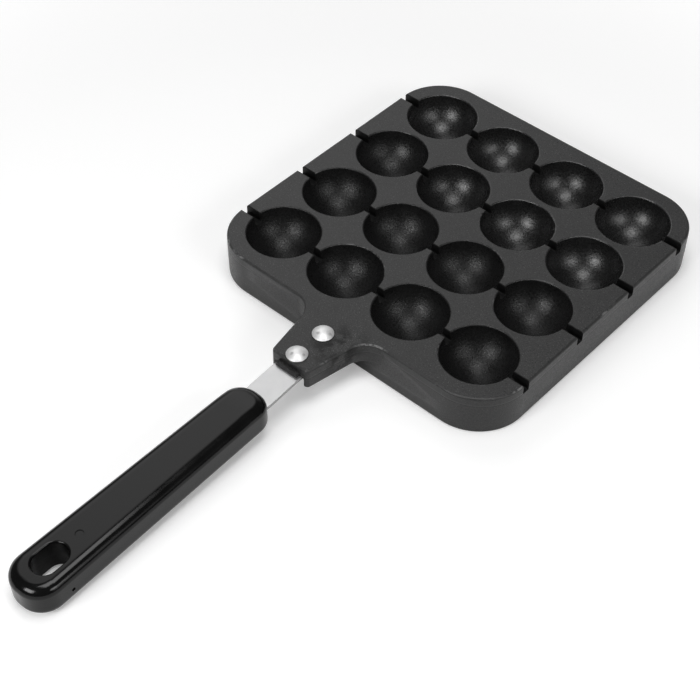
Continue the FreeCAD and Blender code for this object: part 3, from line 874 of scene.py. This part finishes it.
panPiece = panBody()
panPiece.name = "panWithWells"
tools = {
    "Dome": bowlTool("domeTool", wall=well["wall"], soft=well["domeRound"], plane=-pan["plate"],
                     above=1.2, steps=14, bendSteps=5, segments=72),
    "Rib": ribTool(),
    "Well": bowlTool("wellTool", wall=0.0, soft=well["rimRound"], plane=0.0,
                     above=3.0, steps=18, bendSteps=6, segments=96),
    "Groove": grooveTool(),
    "Channel": channelTool(),
    "Lip": lipShape(),
    "Rivet Hole": rivetHoleTool(),
}
grow(panPiece, castingTree(), {
    "Pitch": well["pitch"],
    "Count": well["count"],
    "Plate Top": pan["height"],
    "Rivet Start": -(pan["side"] / 2 + rivet["inset"]),
    "Rivet Spacing": rivet["spacing"],
    "Coating": coating,
    "Well Coating": wellCoating,
    "Groove Coating": grooveCoating,
    **tools,
})
dropped(*tools.values())
softenNormals(panPiece)
placed(panPiece, (0, panCentre, 0))
print("pan cast:", len(panPiece.data.polygons), "faces,", len(panPiece.data.materials), "finishes")


tang = {
    "width": 16.0,
    "thickness": 1.8,
    "edgeRound": 0.35,
    "endRound": 0.3,
    "startInLug": 4.0,
    "lipLength": 2.3,
    "slope": 6.0,
    "droop": 2.1,
    "gap": 20.9,             # from the lug's end to the handle
    "embedded": 62.0,
    "bendRadius": 5.0,
}


def tangPath():
    # the strip's middle line, with each bend eased over a few steps
    steps = 6
    slope = radians(tang["slope"])
    droop = radians(tang["droop"])
    bendY = pan["lugLength"] + tang["gap"]
    drop = (tang["gap"] - tang["lipLength"]) * tan(slope)
    end = (bendY + tang["embedded"] * cos(droop), drop + tang["embedded"] * sin(droop), droop)
    bends = [(pan["lugLength"] + tang["lipLength"], 0.0, 0.0, slope), (bendY, drop, slope, droop)]
    points = [(tang["startInLug"], 0.0, 0.0)]
    for out, down, before, after in bends:
        ease = tang["bendRadius"] * tan(abs(after - before) / 2)
        for step in range(steps + 1):
            share = step / steps
            lean = before if share < 0.5 else after
            slide = ease * (2 * share - 1)
            turn = before + (after - before) * share
            points.append((out + slide * cos(lean), down + slide * sin(lean), turn))
    return [(-out, -down - tang["thickness"] / 2, turn) for out, down, turn in [*points, end]]


def tangStrip():
    # the strip's section drawn along its path, with both ends rounded
    loop = roundedRectangle(tang["width"] / 2, tang["thickness"] / 2, tang["edgeRound"], steps=4)
    soft = tang["endRound"]
    path = tangPath()
    places = [(place, 0.0, 0.0) for place in path]  # and how far each ring shrinks and moves
    places[0] = (path[0], 0.0, -soft)
    places[-1] = (path[-1], 0.0, soft)
    bm = bmesh.new()
    rings = []
    for (y, z, turn), shrink, along in [(path[0], soft, 0.0), *places, (path[-1], soft, 0.0)]:
        ring = []
        for point, normal in loop:
            x, up = point - normal * shrink
            ring.append(bm.verts.new((x, y + along * cos(turn) - up * sin(turn),
                                      z + along * sin(turn) + up * cos(turn))))
        rings.append(ring)
    shell(bm, rings)
    return meshObject(bm, "steelTang")


tangPiece = tangStrip()
tangPiece.data.materials.append(steel)
softenNormals(tangPiece)
placed(tangPiece, (0, wallY, roofZ))
print("tang bent")


def rivetShape():
    # domed head, shank and upset tail, from the tail's middle up to the head's
    grip = rivet["grip"]
    tail = rivet["tailRadius"]
    head = rivet["headRadius"]
    edge = rivet["headEdge"]
    shank = rivet["shank"]
    ball = arcRadius(head, rivet["headHeight"] - edge)
    tailBall = arcRadius(tail, rivet["tailHeight"] - edge)
    low = -grip - rivet["tailHeight"]
    profile = [(0.0, low)]
    for step in range(1, 7):
        radius = tail * 0.96 * step / 6
        profile.append((radius, low + tailBall - sqrt(tailBall ** 2 - radius ** 2)))
    profile += [(tail, -grip - edge * 0.8), (tail, -grip + 0.05), (shank, -grip + 0.02), (shank, -0.02)]
    profile += [(head + out, up) for out, up in rivet["headFoot"]]
    foot = profile[-1][1]
    profile.append((head - 0.02, foot + (edge - foot) * 0.6))
    rim = asin((head - 0.12) / ball)
    for step in range(15):
        angle = rim * (1 - step / 15)
        profile.append((ball * sin(angle), rivet["headHeight"] - ball * (1 - cos(angle))))
    profile.append((0.0, rivet["headHeight"]))
    return turnedShape("rivetShape", profile, 64)


def rivetTree():
    # the rivets stand in a row along the lug
    sockets = [("Count", "Int"), ("Spacing", "Float"), ("Rivet", "Object"), ("Finish", "Material")]
    tree, given, result = newTree("rivetRow", sockets)
    stride = vector(tree, Y=product(tree, given["Spacing"], -1.0))
    line = inLine(tree, given["Count"], (0, 0, 0), stride)
    row = spread(tree, line, fromObject(tree, given["Rivet"]))
    real = node(tree, "GeometryNodeRealizeInstances", {"Geometry": row})[0]
    tree.links.new(clad(tree, real, given["Finish"]), result.inputs[0])
    return tree


oneRivet = rivetShape()
rivetPiece = bpy.data.objects.new("rivets", bpy.data.meshes.new("rivets"))
scene.collection.objects.link(rivetPiece)
grow(rivetPiece, rivetTree(), {
    "Count": rivet["count"],
    "Spacing": rivet["spacing"],
    "Rivet": oneRivet,
    "Finish": aluminium,
})
dropped(oneRivet)
softenNormals(rivetPiece, 30)
placed(rivetPiece, (0, rivetY, pan["height"]))
print("rivets set")


handle = {
    "length": 146.8,
    "frontWidth": 22.6,
    "rearWidth": 27.2,
    "thickness": 17.4,
    "frontRadius": 10.5,
    "rearRadius": 12.3,
    "topRound": (5.6, 4.8),             # across and down
    "underRound": 4.4,
    "noseLength": 18.0,
    "noseDrop": 2.0,
    "droop": 2.1,
    "origin": (0.0, -46.891, 14.296),   # middle of the front end
    "eye": (18.0, 12.4, 19.2),          # length, width, from the far end to its middle
    "eyeRound": 1.0,
    "tangLift": 0.7,
    "mouth": (17.0, 2.8, 5.0),          # width, height, depth
    "mouthCorner": 0.6,
    "mouthFlare": ((0.9, 0.6), (0.45, 0.1), (0.15, -0.25), (0.0, -0.7)),    # out and along
    "sideHole": (0.9, 4.0, 1.9),        # radius, depth, below the middle
    "mouldMark": (2.0, 0.4, 36.2),      # radius, depth, from the far end
    "seam": (0.04, 0.22),               # depth and half of its height
}


def handleOutline():
    # right side from the front to the far end, seen from above
    front = handle["frontRadius"]
    rear = handle["rearRadius"]
    halfFront = handle["frontWidth"] / 2
    lean = atan2((handle["rearWidth"] - handle["frontWidth"]) / 2, handle["length"])
    slant = degrees(lean)
    frontX = halfFront - front * (1 - sin(lean)) / cos(lean)
    rearX = halfFront + (handle["length"] - rear) * tan(lean) - rear / cos(lean)
    points = arcPoints((frontX, -front), front, 90, slant, 20)
    tail = arcPoints((rearX, rear - handle["length"]), rear, slant, -90, 24)
    start, end = points[-1][0], tail[0][0]
    side = Vector((cos(lean), sin(lean)))
    shares = [0.012 * step for step in range(1, 6)] + [0.08] + [0.15 * step for step in range(1, 7)]
    points += [(start.lerp(end, share), side) for share in shares]  # close together over the nose
    return points + tail


def handleBody():
    # the moulding without its holes
    right = handleOutline()
    loop = right + mirrored(right)
    count = len(right)
    half = handle["thickness"] / 2
    across, down = handle["topRound"]
    edge = handle["underRound"]
    nose = handle["noseLength"]
    drop = handle["noseDrop"]
    bend = arcRadius(nose, drop)
    seam, seamHalf = handle["seam"]

    def topAt(y):
        # the top falls along an arc over the nose
        into = max(0.0, y + nose)
        return half - (bend - sqrt(bend ** 2 - into ** 2))

    bm = bmesh.new()
    rings = []
    for grown, left in quarter(16):
        rings.append(ringAt(bm, loop, across * left,
                            lambda index, place: topAt(place.y) - down * grown))
    for offset, height in ((0.0, seamHalf), (seam, 0.0), (0.0, -seamHalf)):
        rings.append(ringAt(bm, loop, offset, height))
    rings += [ringAt(bm, loop, edge * grown, edge * left - half) for grown, left in quarter(10)]
    shell(bm, rings, capped=False)
    for ring in (rings[0], rings[-1]):  # rows across the flats, so that the nose stays smooth
        for index in range(count - 1):
            other = 2 * count - 1 - index
            bm.faces.new((ring[index], ring[index + 1], ring[other - 1], ring[other]))
    return meshObject(bm, "phenolicHandle")


def eyeTool():
    # the hanging eye, with both of its rims rounded
    length, width, inset = handle["eye"]
    middle = inset - handle["length"]
    bend = width / 2
    reach = (length - width) / 2
    loop = arcPoints((0, middle + reach), bend, 0, 180, 24)
    loop += arcPoints((0, middle - reach), bend, 180, 360, 24)
    half = handle["thickness"] / 2
    soft = handle["eyeRound"]
    flare = throughPlane((soft, -soft), soft, 180, 6, 0.0)
    side = [(out, half + up) for out, up in flare] + [(flare[-1][0], half + 2)]
    side = [(out, -up) for out, up in reversed(side)] + side
    bm = bmesh.new()
    shell(bm, [ringAt(bm, loop, -out, up) for out, up in side])
    return meshObject(bm, "eyeTool")


def insideEye(point):
    # on the eye's wall, below its rounded upper rim
    length, width, inset = handle["eye"]
    reach = (length - width) / 2
    along = abs(point.y - (inset - handle["length"]))
    out = Vector((point.x, max(0.0, along - reach))).length
    rim = handle["thickness"] / 2 - handle["eyeRound"] * 0.6
    return out < width / 2 + 0.3 and point.z < rim


def mouthTool():
    # the slot in the front end that the tang goes into
    width, high, depth = handle["mouth"]
    loop = roundedRectangle(width / 2, high / 2, handle["mouthCorner"], steps=4)
    bm = bmesh.new()
    rings = []
    for out, along in (*handle["mouthFlare"], (0.0, -depth)):
        ring = ringAt(bm, loop, -out, 0.0)
        for vert in ring:
            vert.co = Vector((vert.co.x, along, vert.co.y + handle["tangLift"]))
        rings.append(ring)
    shell(bm, rings)
    return meshObject(bm, "mouthTool")


def sideHoleTool():
    # the blind hole of a mould pin, level with the eye
    radius, depth, below = handle["sideHole"]
    mouth = radius + 0.25
    profile = [(0.0, -depth), (radius, 0.5 - depth), (radius, -0.15)]
    profile += [(mouth, 0.12), (mouth, 1.5), (0.0, 1.5)]
    tool = turnedShape("sideHoleTool", profile, 24)
    out = handle["rearWidth"] / 2 - 0.3
    y = handle["eye"][2] - handle["length"]
    tool.data.transform(Matrix.Translation((out, y, -below)) @ Matrix.Rotation(pi / 2, 4, "Y"))
    return tool


def mouldMarkTool():
    # the shallow round left by a mould pin
    radius, depth, inset = handle["mouldMark"]
    mouth = radius + 0.1
    profile = [(0.0, -depth), (radius - 0.12, -depth), (radius - 0.03, 0.05 - depth)]
    profile += [(radius, 0.14 - depth), (radius, -0.08), (mouth, 0.05), (mouth, 1.0), (0.0, 1.0)]
    place = Vector((0, inset - handle["length"], handle["thickness"] / 2))
    return turnedShape("mouldMarkTool", profile, 48, place)


handlePiece = handleBody()
cut(handlePiece, eyeTool(), mouthTool(), sideHoleTool(), mouldMarkTool())
handlePiece.data.materials.clear()
handlePiece.data.materials.append(phenolic)
handlePiece.data.materials.append(coredPhenolic)
# the eye's wall takes the dull resin, darker as painted shade inside the eye
for face in handlePiece.data.polygons:
    face.material_index = 1 if insideEye(face.center) else 0
softenNormals(handlePiece, 28)
placed(handlePiece, handle["origin"], Matrix.Rotation(radians(handle["droop"]), 4, "X"))
print("handle moulded:", len(handlePiece.data.polygons), "faces")


pieces = [
    (panPiece, ("pan_casting",), "nonstick_aluminium"),
    (tangPiece, ("tang",), "steel"),
    (rivetPiece, ("inner_rivet", "outer_rivet"), "rivet_aluminium"),
    (handlePiece, ("handle",), "phenolic"),
]
for piece, nodes, slotName in pieces:
    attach(piece, "root")
    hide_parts(*nodes)
print("pieces ride on the frame")


studio = {
    "floorSize": 6.0,
    "floorColour": 0.86,
    "floorGlow": (0.23, 1.0),      # near the pan and far from it, where the lamps don't reach
    "glowSpan": (0.25, 0.85),      # the distances that the glow changes between
    "glowInGloss": 0.45,           # share of the glow in reflections
    "room": 0.11,                  # level of the room beside its white walls
    "walls": [                     # direction, level, and the cosines where each starts and is full
        ((-0.60, 0.42, 0.68), 1.60, 0.895, 0.985),     # behind the pan
        ((-0.60, 0.78, 0.12), 0.85, 0.86, 0.98),       # its foot, down to the floor
        ((0.89, 0.17, 0.42), 1.5, 0.975, 0.990),       # a narrow one on the right
    ],
    "lampDistance": 1.25,
    "lamps": {                     # direction from the pan, width and height in metres, level
        "frontLamp": ((-0.05, -0.84, 0.52), 0.50, 0.36, 10.5),
        "rightLamp": ((0.81, -0.13, 0.56), 0.50, 0.30, 5.8),
        "topLamp": ((0.08, -0.115, 0.99), 0.58, 0.62, 5.4),
    },
}


def buildFloor():
    # pale, with a glow that only the camera and reflections see
    made, tree, shader, place = material("paleFloor")
    tone = studio["floorColour"]
    path = node(tree, "ShaderNodeLightPath")
    inGloss = product(tree, path["Is Glossy Ray"], studio["glowInGloss"])
    seen = calc(tree, "MAXIMUM", path["Is Camera Ray"], inGloss)
    seen = calc(tree, "MAXIMUM", seen, path["Is Transmission Ray"])
    away = node(tree, "ShaderNodeVectorMath", {0: place}, operation="LENGTH")["Value"]
    glow = fade(tree, away, *studio["glowSpan"], *studio["floorGlow"])
    plug(tree, shader, {
        "Base Color": ramp(tree, noise(tree, place, 3.0), 0.0, 1.0, tone, tone + 0.02),
        "Roughness": 0.9,
        "Emission Color": (1, 1, 1, 1),
        "Emission Strength": product(tree, seen, glow),
    })
    bm = bmesh.new()
    bmesh.ops.create_grid(bm, x_segments=4, y_segments=4, size=studio["floorSize"] / 2)
    floor = meshObject(bm, "paleFloor")
    floor.data.materials.append(made)


def buildRoom():
    # a dim room with white walls in some directions, pure white where the camera sees it
    room = bpy.data.worlds.new("whiteRoom")
    scene.world = room
    room.use_nodes = True
    tree = room.node_tree
    toward = node(tree, "ShaderNodeTexCoord")["Generated"]
    dim = studio["room"]
    walls = dim
    for direction, level, start, full in studio["walls"]:
        aim = {0: toward, 1: Vector(direction).normalized()}
        near = node(tree, "ShaderNodeVectorMath", aim, operation="DOT_PRODUCT")["Value"]
        sockets = {"Value": near, "From Min": start, "From Max": full, "To Min": dim, "To Max": level}
        walls = calc(tree, "MAXIMUM", walls, node(tree, "ShaderNodeMapRange", sockets)[0])
    path = node(tree, "ShaderNodeLightPath")
    clear = calc(tree, "MAXIMUM", path["Is Camera Ray"], path["Is Transmission Ray"])
    level = node(tree, "ShaderNodeMix", {0: clear, 2: walls, 3: 1.0})[0]  # to pure white
    plug(tree, tree.nodes["Background"], {"Color": (1, 1, 1, 1), "Strength": level})


def buildLamps():
    # wide lamps that face the pan's middle
    aim = Vector((0, panCentre * mm, pan["height"] * mm))
    for name, (direction, width, height, level) in studio["lamps"].items():
        lamp = bpy.data.lights.new(name, "AREA")
        lamp.shape = "RECTANGLE"
        lamp.size = width
        lamp.size_y = height
        lamp.energy = level * pi * width * height
        away = Vector(direction).normalized()
        across = (Vector((0, 1, 0)) if away.z > 0.9 else Vector((0, 0, 1))).cross(away).normalized()
        turn = Matrix((across, away.cross(across), away)).transposed().to_4x4()
        holder = bpy.data.objects.new(name, lamp)
        holder.matrix_world = Matrix.Translation(aim + away * studio["lampDistance"]) @ turn
        scene.collection.objects.link(holder)


view = {
    "place": (0.3555, -0.3874, 0.5672),
    "right": (0.74543, 0.66653, 0.00858),    # the picture's right and up
    "up": (-0.48895, 0.53799, 0.68666),
    "lens": 80.89,
}


def buildCamera():
    lens = bpy.data.cameras.new("mainCamera")
    lens.sensor_width = 36.0
    lens.lens = view["lens"]
    lens.clip_start = 0.01
    camera = bpy.data.objects.new("mainCamera", lens)
    right = Vector(view["right"]).normalized()
    back = right.cross(Vector(view["up"])).normalized()
    turn = Matrix((right, back.cross(right), back)).transposed().to_4x4()
    camera.matrix_world = Matrix.Translation(view["place"]) @ turn
    scene.collection.objects.link(camera)
    scene.camera = camera


buildFloor()
buildRoom()
buildLamps()
buildCamera()
scene.view_settings.view_transform = "Standard"
print("studio set")
